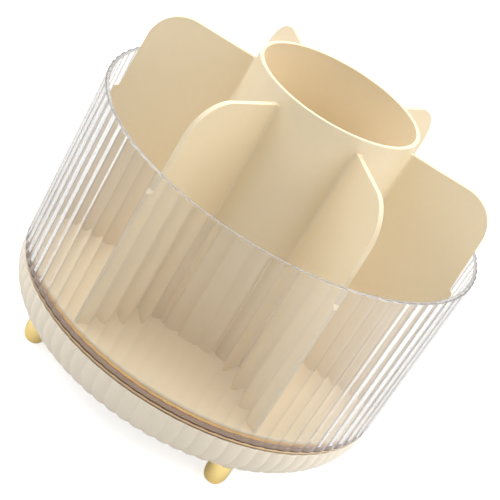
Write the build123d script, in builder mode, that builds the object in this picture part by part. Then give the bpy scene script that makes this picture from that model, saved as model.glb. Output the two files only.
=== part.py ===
from build123d import *

import os
from math import cos, hypot, radians, sin

# A rotating makeup brush holder: a clear fluted bin with a lift-out divider, on a footed swivel base.
# Lengths are in millimetres, Z is up and the origin is on the floor, under the middle of the feet.

# Fits and cuts shared by several pieces
overrun = 1.0
running_fit = 0.05
seat_fit = 0.02
swivel_gap = 0.5

# Clear bin, measured over the crests of its flutes
bin_foot_radius = 83.0
bin_flare = 2.0
bin_height = 78.8
bin_wall = 2.0
bin_floor = 1.8
bin_corner_chamfer = 0.6
bin_flute_depth = 0.4
flute_count = 80

# Divider: a round floor on a foot ring, with a centre tube and fins that rise above the rim of the bin
tray_thickness = 1.6
tray_clearance = 0.4
tray_foot_height = 1.4
tray_foot_width = 2.5
tube_radius = 36.0
tube_wall = 1.7
tube_rise = 5.7
tube_lip_chamfer = 0.5
fin_count = 6
fin_thickness = 2.0
fin_rise = 30.6
fin_clearance = 0.7
fin_step = 1.6
fin_step_drop = 10.0
fin_step_slope = 1.4
fin_draft = 0.7
fin_corner_radius = 16.0
fin_root_radius = 1.2

# Gold band under the edge of the divider's floor
band_inset = 0.2
band_width = 4.5
band_fit = 0.1

# Gold trim ring between the bin and the base
trim_thickness = 1.2
trim_inset = 0.8
trim_seat_width = 4.0
trim_fit = 0.1

# Turntable plate with its hub and upper ball track
plate_thickness = 3.0
plate_clearance = 0.8
hub_radius = 6.0
track_rib_depth = 2.5
track_half_width = 5.0

# Ball race
race_radius = 42.0
ball_count = 8
ball_diameter = 6.0
ball_clearance = 0.2
pocket_clearance = 0.15
cage_thickness = 1.6
cage_half_width = 4.4
cage_gap = 0.4

# Base bowl
base_setback = 0.5
base_flute_depth = 0.6
base_band = 2.7
base_edge_radius = 17.0
base_edge_steps = 4
base_wall = 2.5
rib_count = 8
rib_thickness = 1.6
rib_drop = 3.0

# Pivot in the middle of the base
bush_wall = 2.0
bush_flange_margin = 2.0
bush_flange = 1.2
boss_wall = 2.0
hub_gap = 0.5
pivot_play = 0.3
pivot_washer_radius = 9.0
pivot_washer_thickness = 1.0
recess_margin = 0.6
recess_cover = 0.4
pivot_screw_radius = 1.5
pivot_screw_length = 9.0
pivot_head_radius = 3.2
pivot_head_height = 1.8
driver_slot_width = 0.8
driver_slot_length = 3.6
driver_slot_depth = 1.0
pilot_spare = 1.0

# Feet, each held by a screw from inside the bowl
foot_names = ("foot_rear_right", "foot_rear_left", "foot_front_left", "foot_front_right")
foot_azimuth = 33.7
foot_inset = 16.0
foot_height = 11.0
foot_radius = 5.0
foot_dome_height = 5.5
foot_flat_radius = 2.5
foot_spigot_radius = 3.0
foot_spigot_height = 2.0
foot_boss_margin = 0.6
foot_boss_rise = 1.5
foot_washer_radius = 4.0
foot_washer_thickness = 0.8
foot_screw_radius = 1.5
foot_screw_length = 11.0
foot_head_radius = 3.0
foot_head_height = 2.0
head_edge_chamfer = 0.5

# Heights of the stack, worked out upwards from the floor
base_z = foot_height
base_floor_z = base_z + base_wall
base_band_z = base_z + base_edge_radius
base_top_z = base_band_z + base_band
trim_z = base_top_z + swivel_gap
plate_z = trim_z - plate_thickness
bin_z = trim_z + trim_thickness
bin_floor_z = bin_z + bin_floor
tray_z = bin_floor_z + tray_foot_height
tray_top_z = tray_z + tray_thickness
rim_z = bin_z + bin_height
fin_top_z = rim_z + fin_rise
fin_step_z = rim_z - fin_step_drop
tube_top_z = fin_top_z + tube_rise
ball_radius = ball_diameter / 2
upper_track_z = plate_z - track_rib_depth
ball_z = upper_track_z - cage_gap - cage_thickness / 2
lower_track_z = ball_z - cage_thickness / 2 - cage_gap
channel_z = ball_z - ball_radius - ball_clearance
channel_height = ball_diameter + 2 * ball_clearance
rib_top_z = lower_track_z - rib_drop
recess_depth = pivot_play + pivot_washer_thickness + pivot_head_height + recess_cover
recess_z = base_z + recess_depth
hub_end_z = recess_z - pivot_play
pivot_head_z = hub_end_z - pivot_washer_thickness
boss_top_z = plate_z - hub_gap - bush_flange
foot_boss_z = base_floor_z + foot_boss_rise
foot_head_z = foot_boss_z + foot_washer_thickness
foot_top_z = foot_height + foot_spigot_height
foot_pilot_z = foot_head_z - foot_screw_length - pilot_spare

# Radii worked out from the bin inwards
bin_rim_radius = bin_foot_radius + bin_flare
bin_inner_foot_radius = bin_foot_radius - bin_wall
bin_inner_rim_radius = bin_rim_radius - bin_wall
tray_radius = bin_inner_foot_radius - tray_clearance
band_radius = tray_radius - band_inset
band_inner_radius = band_radius - band_width
tray_foot_radius = band_inner_radius - band_fit
fin_foot_radius = bin_inner_foot_radius - fin_clearance
fin_step_radius = fin_foot_radius - fin_step
fin_top_radius = fin_step_radius - fin_draft
fin_root_x = tube_radius - tube_wall / 2
base_radius = bin_foot_radius - base_setback
base_inner_radius = base_radius - base_flute_depth - base_wall
base_edge_x = base_radius - base_edge_radius
cavity_edge_radius = base_edge_radius - base_wall
cavity_edge_x = base_inner_radius - cavity_edge_radius
plate_radius = base_inner_radius - plate_clearance
trim_radius = bin_foot_radius - trim_inset
trim_inner_radius = plate_radius - trim_seat_width
track_inner_radius = race_radius - track_half_width
track_outer_radius = race_radius + track_half_width
channel_inner_radius = race_radius - ball_radius - ball_clearance
channel_outer_radius = race_radius + ball_radius + ball_clearance
bush_bore_radius = hub_radius + running_fit
bush_radius = bush_bore_radius + bush_wall
bush_flange_radius = bush_radius + bush_flange_margin
recess_radius = pivot_washer_radius + recess_margin
boss_radius = max(recess_radius, bush_flange_radius) + boss_wall
foot_circle_radius = base_radius - foot_inset
foot_boss_radius = foot_radius + foot_boss_margin
foot_count = len(foot_names)
foot_pitch = 360 / foot_count
flute_pitch = 360 / flute_count


def around(radius: float, azimuth: float) -> tuple[float, float]:
    """The point at a radius and an azimuth in degrees, on the floor plan."""
    return (radius * cos(radians(azimuth)), radius * sin(radians(azimuth)))


def fluted_outline(crest_radius: float, flute_depth: float, height: float) -> Sketch:
    """A level round face whose edge is a ring of outward lobes that meet in sharp grooves."""
    groove_radius = crest_radius - flute_depth
    with BuildSketch(Plane.XY.offset(height)) as outline:
        with BuildLine():
            for index in range(flute_count):
                azimuth = index * flute_pitch
                ThreePointArc(
                    around(groove_radius, azimuth - flute_pitch / 2),
                    around(crest_radius, azimuth),
                    around(groove_radius, azimuth + flute_pitch / 2),
                )
        make_face()
    return outline.sketch


os.makedirs("parts", exist_ok=True)

# Clear bin: two fluted outlines joined by a drafted wall, hollowed from above
with BuildPart() as clear_bin:
    add(fluted_outline(bin_foot_radius, bin_flute_depth, bin_z))
    add(fluted_outline(bin_rim_radius, bin_flute_depth, rim_z))
    loft(ruled=True)
    wall_slope = bin_flare / bin_height
    with BuildSketch(Plane.XZ):
        with BuildLine():
            Polyline(
                (0, bin_floor_z),
                (bin_inner_foot_radius + wall_slope * bin_floor, bin_floor_z),
                (bin_inner_rim_radius + wall_slope * overrun, rim_z + overrun),
                (0, rim_z + overrun),
                close=True,
            )
        make_face()
        chamfer(vertices().group_by(Axis.Y)[0].sort_by(Axis.X)[-1], bin_corner_chamfer)
    revolve(axis=Axis.Z, mode=Mode.SUBTRACT)
clear_bin.part.label = "clear_bin"
export_step(clear_bin.part, "parts/clear_bin.step")

# One fin of the divider, standing on the XZ plane
with BuildPart() as fin_blade:
    with BuildSketch(Plane.XZ):
        with BuildLine():
            Polyline(
                (fin_root_x, tray_z),
                (fin_foot_radius, tray_z),
                (fin_foot_radius, fin_step_z - fin_step_slope),
                (fin_step_radius, fin_step_z),
                (fin_top_radius, fin_top_z),
                (fin_root_x, fin_top_z),
                close=True,
            )
        make_face()
        fillet(vertices().group_by(Axis.Y)[-1].sort_by(Axis.X)[-1], fin_corner_radius)
    extrude(amount=fin_thickness / 2, both=True)

# Divider: the floor, the tube and its ring of fins, one moulding
with BuildPart() as divider:
    with BuildSketch(Plane.XY.offset(tray_z)):
        Circle(tray_radius)
    extrude(amount=tray_thickness)
    with BuildSketch(Plane.XY.offset(bin_floor_z)):
        Circle(tray_foot_radius)
        Circle(tray_foot_radius - tray_foot_width, mode=Mode.SUBTRACT)
    extrude(amount=tray_foot_height)
    with BuildSketch(Plane.XY.offset(tray_z)):
        Circle(tube_radius)
    extrude(amount=tube_top_z - tray_z)
    with PolarLocations(0, fin_count):
        add(fin_blade.part)
    with BuildSketch(Plane.XY.offset(tray_top_z)):
        Circle(tube_radius - tube_wall)
    extrude(amount=tube_top_z - tray_top_z, mode=Mode.SUBTRACT)
    uprights = divider.edges().filter_by(Axis.Z)
    root_reach = tube_radius + fin_thickness
    fin_roots = uprights.filter_by(lambda edge: hypot(edge.center().X, edge.center().Y) < root_reach)
    fillet(fin_roots, fin_root_radius)
    chamfer(divider.faces().sort_by(Axis.Z)[-1].edges(), tube_lip_chamfer)
divider.part.label = "divider"
export_step(divider.part, "parts/divider.step")

# Gold band, under the edge of the divider's floor and around its foot ring
with BuildPart() as divider_band:
    with BuildSketch(Plane.XY.offset(bin_floor_z)):
        Circle(band_radius)
        Circle(band_inner_radius, mode=Mode.SUBTRACT)
    extrude(amount=tray_foot_height)
divider_band.part.label = "divider_band"
export_step(divider_band.part, "parts/divider_band.step")

# Gold trim ring, a flat ring that the bin stands on
with BuildPart() as trim_ring:
    with BuildSketch(Plane.XY.offset(trim_z)):
        Circle(trim_radius)
        Circle(trim_inner_radius, mode=Mode.SUBTRACT)
    extrude(amount=trim_thickness)
trim_ring.part.label = "trim_ring"
export_step(trim_ring.part, "parts/trim_ring.step")

# Turntable plate: disc, raised middle inside the ring, upper ball track and hub
with BuildPart() as turntable_plate:
    with BuildSketch(Plane.XY.offset(plate_z)):
        Circle(plate_radius)
    extrude(amount=plate_thickness)
    with BuildSketch(Plane.XY.offset(trim_z)):
        Circle(trim_inner_radius - trim_fit)
    extrude(amount=trim_thickness)
    with BuildSketch(Plane.XY.offset(upper_track_z)):
        Circle(track_outer_radius)
        Circle(track_inner_radius, mode=Mode.SUBTRACT)
    extrude(amount=track_rib_depth)
    with BuildSketch(Plane.XY.offset(hub_end_z)):
        Circle(hub_radius)
    extrude(amount=plate_z - hub_end_z)
    with BuildSketch(Plane.XY.offset(channel_z)):
        Circle(channel_outer_radius)
        Circle(channel_inner_radius, mode=Mode.SUBTRACT)
    extrude(amount=channel_height, mode=Mode.SUBTRACT)
    with BuildSketch(Plane.XY.offset(hub_end_z)):
        Circle(pivot_screw_radius + seat_fit)
    extrude(amount=pivot_screw_length + pilot_spare, mode=Mode.SUBTRACT)
turntable_plate.part.label = "turntable_plate"
export_step(turntable_plate.part, "parts/turntable_plate.step")

# Ball cage: a flat ring with a round pocket for each ball
with BuildPart() as ball_cage:
    with BuildSketch(Plane.XY.offset(ball_z - cage_thickness / 2)):
        Circle(race_radius + cage_half_width)
        Circle(race_radius - cage_half_width, mode=Mode.SUBTRACT)
        with PolarLocations(race_radius, ball_count):
            Circle(ball_radius + pocket_clearance, mode=Mode.SUBTRACT)
    extrude(amount=cage_thickness)
ball_cage.part.label = "ball_cage"
export_step(ball_cage.part, "parts/ball_cage.step")

# Bearing balls, one in each pocket
with BuildPart() as bearing_balls:
    with Locations((0, 0, ball_z)):
        with PolarLocations(race_radius, ball_count):
            Sphere(ball_radius)
bearing_balls.part.label = "bearing_balls"
export_step(bearing_balls.part, "parts/bearing_balls.step")

# Base bowl: fluted outlines that follow a straight band and a quarter round, hollowed from above
edge_turns = [radians(90 * step / base_edge_steps) for step in range(base_edge_steps + 1)]
with BuildPart() as base_shell:
    add(fluted_outline(base_radius, base_flute_depth, base_top_z))
    for turn in edge_turns:
        edge_radius = base_edge_x + base_edge_radius * cos(turn)
        add(fluted_outline(edge_radius, base_flute_depth, base_band_z - base_edge_radius * sin(turn)))
    loft(ruled=True)
    with BuildSketch(Plane.XZ):
        with BuildLine():
            Polyline(
                (0, base_floor_z),
                (0, base_top_z + overrun),
                (base_inner_radius, base_top_z + overrun),
                *[
                    (cavity_edge_x + cavity_edge_radius * cos(turn), base_band_z - cavity_edge_radius * sin(turn))
                    for turn in edge_turns
                ],
                close=True,
            )
        make_face()
    revolve(axis=Axis.Z, mode=Mode.SUBTRACT)
    # Lower ball track on a ring wall
    with BuildSketch(Plane.XY.offset(base_floor_z)):
        Circle(track_outer_radius)
        Circle(track_inner_radius, mode=Mode.SUBTRACT)
    extrude(amount=lower_track_z - base_floor_z)
    with BuildSketch(Plane.XY.offset(channel_z)):
        Circle(channel_outer_radius)
        Circle(channel_inner_radius, mode=Mode.SUBTRACT)
    extrude(amount=channel_height, mode=Mode.SUBTRACT)
    # Pivot boss, with ribs out to the track wall
    with BuildSketch(Plane.XY.offset(base_floor_z)):
        Circle(boss_radius)
    extrude(amount=boss_top_z - base_floor_z)
    rib_length = track_inner_radius - boss_radius + boss_wall
    with BuildSketch(Plane.XY.offset(base_floor_z)):
        with PolarLocations(boss_radius - boss_wall / 2 + rib_length / 2, rib_count):
            Rectangle(rib_length, rib_thickness)
    extrude(amount=rib_top_z - base_floor_z)
    # Foot bosses, flat below for the foot and above for the washer
    with BuildSketch(Plane.XY.offset(base_z)):
        with PolarLocations(foot_circle_radius, foot_count, foot_azimuth):
            Circle(foot_boss_radius)
    extrude(amount=foot_boss_z - base_z)
    with BuildSketch(Plane.XY.offset(base_z)):
        with PolarLocations(foot_circle_radius, foot_count, foot_azimuth):
            Circle(foot_spigot_radius + seat_fit)
    extrude(amount=foot_spigot_height, mode=Mode.SUBTRACT)
    with BuildSketch(Plane.XY.offset(base_z)):
        with PolarLocations(foot_circle_radius, foot_count, foot_azimuth):
            Circle(foot_screw_radius + running_fit)
    extrude(amount=foot_boss_z - base_z, mode=Mode.SUBTRACT)
    # Bore for the pivot bush, and the recess below it
    with BuildSketch(Plane.XY.offset(base_z)):
        Circle(bush_radius + seat_fit)
    extrude(amount=boss_top_z - base_z, mode=Mode.SUBTRACT)
    with BuildSketch(Plane.XY.offset(base_z)):
        Circle(recess_radius)
    extrude(amount=recess_depth, mode=Mode.SUBTRACT)
base_shell.part.label = "base_shell"
export_step(base_shell.part, "parts/base_shell.step")

# Pivot bush: a sleeve with a flange on top of the boss
with BuildPart() as pivot_bush:
    with BuildSketch(Plane.XY.offset(recess_z)):
        Circle(bush_radius)
    extrude(amount=boss_top_z - recess_z)
    with BuildSketch(Plane.XY.offset(boss_top_z)):
        Circle(bush_flange_radius)
    extrude(amount=bush_flange)
    with BuildSketch(Plane.XY.offset(recess_z)):
        Circle(bush_bore_radius)
    extrude(amount=boss_top_z + bush_flange - recess_z, mode=Mode.SUBTRACT)
pivot_bush.part.label = "pivot_bush"
export_step(pivot_bush.part, "parts/pivot_bush.step")

# Pivot washer, clamped on the end of the hub
with BuildPart() as pivot_washer:
    with BuildSketch(Plane.XY.offset(pivot_head_z)):
        Circle(pivot_washer_radius)
        Circle(pivot_screw_radius + seat_fit, mode=Mode.SUBTRACT)
    extrude(amount=pivot_washer_thickness)
pivot_washer.part.label = "pivot_washer"
export_step(pivot_washer.part, "parts/pivot_washer.step")

# Pivot screw, driven from below, with a cross slot in its head
with BuildPart() as pivot_screw:
    with BuildSketch(Plane.XY.offset(pivot_head_z - pivot_head_height)):
        Circle(pivot_head_radius)
    extrude(amount=pivot_head_height)
    chamfer(pivot_screw.faces().sort_by(Axis.Z)[0].edges(), head_edge_chamfer)
    with BuildSketch(Plane.XY.offset(pivot_head_z)):
        Circle(pivot_screw_radius)
    extrude(amount=pivot_washer_thickness + pivot_screw_length)
    with BuildSketch(Plane.XY.offset(pivot_head_z - pivot_head_height)):
        Rectangle(driver_slot_length, driver_slot_width)
        Rectangle(driver_slot_width, driver_slot_length)
    extrude(amount=driver_slot_depth, mode=Mode.SUBTRACT)
pivot_screw.part.label = "pivot_screw"
export_step(pivot_screw.part, "parts/pivot_screw.step")

# Feet: a domed post with a spigot that locates it in the base
for index, foot_name in enumerate(foot_names):
    foot_x, foot_y = around(foot_circle_radius, foot_azimuth + index * foot_pitch)
    with BuildPart() as foot:
        with BuildSketch(Plane(origin=(foot_x, foot_y, 0), x_dir=(1, 0, 0), z_dir=(0, -1, 0))):
            with BuildLine():
                Line((0, 0), (foot_flat_radius, 0))
                TangentArc((foot_radius, foot_dome_height), (foot_flat_radius, 0), tangent=(0, -1))
                Polyline(
                    (foot_radius, foot_dome_height),
                    (foot_radius, foot_height),
                    (foot_spigot_radius, foot_height),
                    (foot_spigot_radius, foot_top_z),
                    (0, foot_top_z),
                    (0, 0),
                )
            make_face()
        revolve(axis=Axis((foot_x, foot_y, 0), (0, 0, 1)))
        with Locations((foot_x, foot_y, foot_top_z)):
            Hole(foot_screw_radius + seat_fit, depth=foot_top_z - foot_pilot_z)
    foot.part.label = foot_name
    export_step(foot.part, f"parts/{foot_name}.step")

# Foot washers, under the heads of the foot screws
with BuildPart() as foot_washers:
    with BuildSketch(Plane.XY.offset(foot_boss_z)):
        with PolarLocations(foot_circle_radius, foot_count, foot_azimuth):
            Circle(foot_washer_radius)
            Circle(foot_screw_radius + running_fit, mode=Mode.SUBTRACT)
    extrude(amount=foot_washer_thickness)
foot_washers.part.label = "foot_washers"
export_step(foot_washers.part, "parts/foot_washers.step")

# Foot screws, driven down from inside the bowl
with BuildPart() as foot_screws:
    with BuildSketch(Plane.XY.offset(foot_head_z)):
        with PolarLocations(foot_circle_radius, foot_count, foot_azimuth):
            Circle(foot_head_radius)
    extrude(amount=foot_head_height)
    chamfer(foot_screws.faces().group_by(Axis.Z)[-1].edges(), head_edge_chamfer)
    with BuildSketch(Plane.XY.offset(foot_head_z)):
        with PolarLocations(foot_circle_radius, foot_count, foot_azimuth):
            Circle(foot_screw_radius)
    extrude(amount=-foot_screw_length)
foot_screws.part.label = "foot_screws"
export_step(foot_screws.part, "parts/foot_screws.step")
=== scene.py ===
"""The looks of a rotating makeup brush holder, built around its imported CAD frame.

Lengths are in metres, Z is up and the origin is on the floor, under the middle of the feet.
"""

import logging
from dataclasses import dataclass, field, replace
from enum import Enum
from math import cos, pi, radians, sin, sqrt, tau

import bmesh
import bpy
from mathutils import Matrix, Vector


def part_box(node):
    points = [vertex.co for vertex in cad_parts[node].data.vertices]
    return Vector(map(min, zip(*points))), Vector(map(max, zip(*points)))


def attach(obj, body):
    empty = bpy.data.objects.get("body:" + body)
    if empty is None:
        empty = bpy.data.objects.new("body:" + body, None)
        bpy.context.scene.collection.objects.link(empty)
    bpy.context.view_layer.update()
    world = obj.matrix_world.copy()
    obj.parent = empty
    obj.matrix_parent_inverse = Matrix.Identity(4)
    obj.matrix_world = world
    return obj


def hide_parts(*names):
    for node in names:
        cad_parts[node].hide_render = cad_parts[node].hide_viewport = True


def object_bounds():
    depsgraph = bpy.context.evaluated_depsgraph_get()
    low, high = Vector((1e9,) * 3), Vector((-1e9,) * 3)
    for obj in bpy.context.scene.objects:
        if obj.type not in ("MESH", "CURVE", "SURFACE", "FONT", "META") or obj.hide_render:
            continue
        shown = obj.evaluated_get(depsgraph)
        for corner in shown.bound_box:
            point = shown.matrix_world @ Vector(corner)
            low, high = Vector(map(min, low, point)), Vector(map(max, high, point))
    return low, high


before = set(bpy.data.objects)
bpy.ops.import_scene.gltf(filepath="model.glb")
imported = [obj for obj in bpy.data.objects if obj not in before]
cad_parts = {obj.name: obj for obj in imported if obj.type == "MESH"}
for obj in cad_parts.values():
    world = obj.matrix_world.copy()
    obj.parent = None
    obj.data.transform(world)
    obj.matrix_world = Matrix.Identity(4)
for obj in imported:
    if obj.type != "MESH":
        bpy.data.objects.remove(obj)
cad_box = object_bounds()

log = logging.getLogger("brush_holder")

Colour = tuple[float, float, float]
Pair = tuple[float, float]
Point = tuple[float, float, float]
Socket = bpy.types.NodeSocket
Sockets = bpy.types.NodeOutputs
Shape = bmesh.types.BMesh
Ring = list[bmesh.types.BMVert]

SHARP_ANGLE = radians(30)
WELD_DISTANCE = 1e-6
FLAT_FACE_WEIGHT = 50
FLUTES = 80
STEPS_PER_FLUTE = 8


class Body(Enum):
    """The CAD bodies that new pieces ride on."""

    BASE = "base"
    TURNTABLE = "turntable"
    DIVIDER = "divider"


class Slot(Enum):
    """The material slots of the record."""

    IVORY = "ivory_plastic"
    DIVIDER = "divider_plastic"
    CLEAR = "clear_plastic"
    GOLD = "gold_plate"
    STEEL = "steel"
    BEARING = "bearing_plastic"


class NodeSheet:
    """A node tree with short calls that add nodes and join their sockets."""

    def __init__(self, tree: bpy.types.NodeTree) -> None:
        """Empties the tree and keeps it.

        Args:
            tree: The node tree of a material, a world or a group.
        """
        self.tree = tree
        tree.nodes.clear()

    def add(
        self,
        kind: str,
        values: dict[str | int, object] | None = None,
        **settings: object,
    ) -> bpy.types.Node:
        """Adds a node.

        Args:
            kind: The node's Blender type, without the ShaderNode that most of them start with.
            values: Values for its input sockets, by name or place; an output socket given there is linked.
            settings: Properties of the node itself.

        Returns:
            The new node.
        """
        prefix = "" if kind.startswith("NodeGroup") else "ShaderNode"
        node = self.tree.nodes.new(prefix + kind)
        for name, setting in settings.items():
            setattr(node, name, setting)
        for name, value in (values or {}).items():
            socket = node.inputs[name]
            if isinstance(value, Socket):
                self.tree.links.new(value, socket)
            else:
                socket.default_value = value
        return node

    def math(self, operation: str, *values: object) -> Socket:
        """Adds a Math node, whose inputs are numbers or sockets, and returns its output."""
        return self.add("Math", dict(enumerate(values)), operation=operation).outputs[0]

    def remap(
        self, value: Socket, start: float, stop: float, low: object = 0.0, high: object = 1.0
    ) -> Socket:
        """Takes a value from one range to another, and stops it at the ends.

        Args:
            value: The value.
            start: Where the first range starts.
            stop: Where the first range stops.
            low: What the value becomes at the start, a number or a socket.
            high: What it becomes at the stop, a number or a socket.

        Returns:
            The new value.
        """
        ranges = {"From Min": start, "From Max": stop, "To Min": low, "To Max": high}
        return self.add("MapRange", {"Value": value, **ranges}).outputs["Result"]

    def blend(self, factor: Socket, first: object, second: object) -> Socket:
        """Adds a Mix node between two colours, each given or a socket, and returns its output."""
        values = {"Factor": factor, "A": first, "B": second}
        return self.add("Mix", values, data_type="RGBA").outputs["Result"]

    def noise(self, place: Socket, scale: object, detail: float, roughness: float = 0.5) -> Socket:
        """Adds a Noise Texture node and returns its value."""
        values = {"Vector": place, "Scale": scale, "Detail": detail, "Roughness": roughness}
        return self.add("TexNoise", values).outputs["Fac"]

    def bump(self, height: Socket, depth: float) -> Socket:
        """Adds a Bump node of full strength and returns its normal."""
        return self.add("Bump", {"Height": height, "Distance": depth, "Strength": 1.0}).outputs["Normal"]

    def coordinates(self, kind: str = "Object") -> Socket:
        """Returns the coordinates of the shaded point."""
        return self.add("TexCoord").outputs[kind]

    def axes(self, kind: str = "Object") -> Sockets:
        """Returns X, Y and Z of the coordinates of the shaded point, by name."""
        return self.add("SeparateXYZ", {"Vector": self.coordinates(kind)}).outputs


def opaque(colour: Colour) -> tuple[float, float, float, float]:
    """Returns a colour with an alpha of one."""
    return (*colour, 1.0)


class SurfaceEffect:
    """A shader node group that several finishes share, built once."""

    name = ""
    inputs: dict[str, tuple[str, object]] = {}
    outputs: dict[str, str] = {}

    def group(self) -> bpy.types.NodeTree:
        """Returns the group's tree, and builds it the first time."""
        found = bpy.data.node_groups.get(self.name)
        if found is not None:
            return found
        tree = bpy.data.node_groups.new(self.name, "ShaderNodeTree")
        for name, (kind, value) in self.inputs.items():
            socket = tree.interface.new_socket(name, in_out="INPUT", socket_type="NodeSocket" + kind)
            socket.default_value = value
        for name, kind in self.outputs.items():
            tree.interface.new_socket(name, in_out="OUTPUT", socket_type="NodeSocket" + kind)
        self.build(NodeSheet(tree))
        return tree

    def build(self, sheet: NodeSheet) -> None:
        """Fills the group's tree.

        Args:
            sheet: The empty tree of the group.
        """
        raise NotImplementedError

    def place(self, sheet: NodeSheet, values: dict[str, object]) -> Sockets:
        """Places the group in a material's tree with its own values, and returns its outputs."""
        return sheet.add("Group", values, node_tree=self.group()).outputs


class MouldedSurface(SurfaceEffect):
    """Moulded plastic: slow drifts of colour and gloss, and the fine grain of the mould."""

    name = "moulded surface"
    inputs = {
        "Colour": ("Color", (0.8, 0.8, 0.8, 1.0)),
        "Shade": ("Color", (0.7, 0.7, 0.7, 1.0)),
        "Roughness": ("Float", 0.4),
        "Roughness Spread": ("Float", 0.1),
        "Grain Scale": ("Float", 1500.0),
    }
    outputs = {"Colour": "Color", "Roughness": "Float", "Height": "Float"}
    drift_scale = 22.0
    drift_share = 0.8
    drift_middle = 0.5
    speckle_scale = 420.0
    mottle_range = (0.65, 1.15)

    def build(self, sheet: NodeSheet) -> None:
        """Fills the group's tree.

        Args:
            sheet: The empty tree of the group.
        """
        given = sheet.add("NodeGroupInput").outputs
        place = sheet.coordinates()
        drift = sheet.noise(place, self.drift_scale, detail=3.0, roughness=0.55)
        speckle = sheet.noise(place, self.speckle_scale, detail=2.0, roughness=0.6)
        mottle = sheet.math("MULTIPLY_ADD", drift, self.drift_share, speckle)
        spread = sheet.remap(mottle, *self.mottle_range)
        swing = sheet.math("SUBTRACT", drift, self.drift_middle)
        gloss = sheet.math("MULTIPLY", swing, given["Roughness Spread"])
        sheet.add(
            "NodeGroupOutput",
            {
                "Colour": sheet.blend(spread, given["Colour"], given["Shade"]),
                "Roughness": sheet.math("ADD", given["Roughness"], gloss),
                "Height": sheet.noise(place, given["Grain Scale"], detail=2.0),
            },
        )


class HandlingMarks(SurfaceEffect):
    """Polished surfaces after some use: faint smudges, and hairline scratches that run one way."""

    name = "handling marks"
    inputs = {
        "Roughness": ("Float", 0.05),
        "Smudge": ("Float", 0.05),
        "Smudge Scale": ("Float", 30.0),
        "Scratch Scale": ("Float", 900.0),
    }
    outputs = {"Roughness": "Float", "Smudge": "Float", "Height": "Float"}
    smudge_range = (0.5, 0.75)
    scratch_stretch = (1.0, 1.0, 0.04)

    def build(self, sheet: NodeSheet) -> None:
        """Fills the group's tree.

        Args:
            sheet: The empty tree of the group.
        """
        given = sheet.add("NodeGroupInput").outputs
        place = sheet.coordinates()
        cloud = sheet.noise(place, given["Smudge Scale"], detail=4.0, roughness=0.6)
        smudge = sheet.remap(cloud, *self.smudge_range)
        dulled = sheet.math("MULTIPLY", smudge, given["Smudge"])
        stretched = sheet.add("Mapping", {"Vector": place, "Scale": self.scratch_stretch}).outputs["Vector"]
        sheet.add(
            "NodeGroupOutput",
            {
                "Roughness": sheet.math("ADD", given["Roughness"], dulled),
                "Smudge": smudge,
                "Height": sheet.noise(stretched, given["Scratch Scale"], detail=2.0),
            },
        )


@dataclass(frozen=True)
class Finish:
    """What every finish has: the slot that it belongs to and its colour."""

    slot: Slot
    colour: Colour

    def material(self) -> bpy.types.Material:
        """Returns the finish's material, and builds it the first time."""
        found = bpy.data.materials.get(self.name())
        if found is not None:
            return found
        made = bpy.data.materials.new(self.name())
        made.use_nodes = True
        self.build(NodeSheet(made.node_tree))
        return made

    def name(self) -> str:
        """Returns the material's name in plain words."""
        return self.slot.value.replace("_", " ") + " finish"

    def build(self, sheet: NodeSheet) -> None:
        """Fills the material's tree.

        Args:
            sheet: The empty tree of the material.
        """
        raise NotImplementedError


@dataclass(frozen=True)
class MouldedPlastic(Finish):
    """Opaque moulded plastic with a satin face."""

    shade: Colour
    roughness: float
    roughness_spread: float
    grain_scale: float
    grain_depth: float
    refraction: float = 1.5
    coat: float = 0.0
    coat_roughness: float = 0.12

    def build(self, sheet: NodeSheet) -> None:
        """Fills the material's tree.

        Args:
            sheet: The empty tree of the material.
        """
        surface = MouldedSurface().place(
            sheet,
            {
                "Colour": opaque(self.colour),
                "Shade": opaque(self.shade),
                "Roughness": self.roughness,
                "Roughness Spread": self.roughness_spread,
                "Grain Scale": self.grain_scale,
            },
        )
        shader = sheet.add(
            "BsdfPrincipled",
            {
                "Base Color": surface["Colour"],
                "Roughness": surface["Roughness"],
                "Normal": sheet.bump(surface["Height"], self.grain_depth),
                "IOR": self.refraction,
                "Coat Weight": self.coat,
                "Coat Roughness": self.coat_roughness,
            },
        )
        sheet.add("OutputMaterial", {"Surface": shader.outputs["BSDF"]})


@dataclass(frozen=True)
class PolishedFinish(Finish):
    """A polished finish that shows how it was handled."""

    roughness: float
    smudge: float
    smudge_scale: float
    scratch_scale: float
    scratch_depth: float

    def marks(self, sheet: NodeSheet) -> Sockets:
        """Places the handling marks in the material's tree.

        Args:
            sheet: The tree of the material.

        Returns:
            The outputs of the marks, by name.
        """
        values = {
            "Roughness": self.roughness,
            "Smudge": self.smudge,
            "Smudge Scale": self.smudge_scale,
            "Scratch Scale": self.scratch_scale,
        }
        return HandlingMarks().place(sheet, values)


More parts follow.
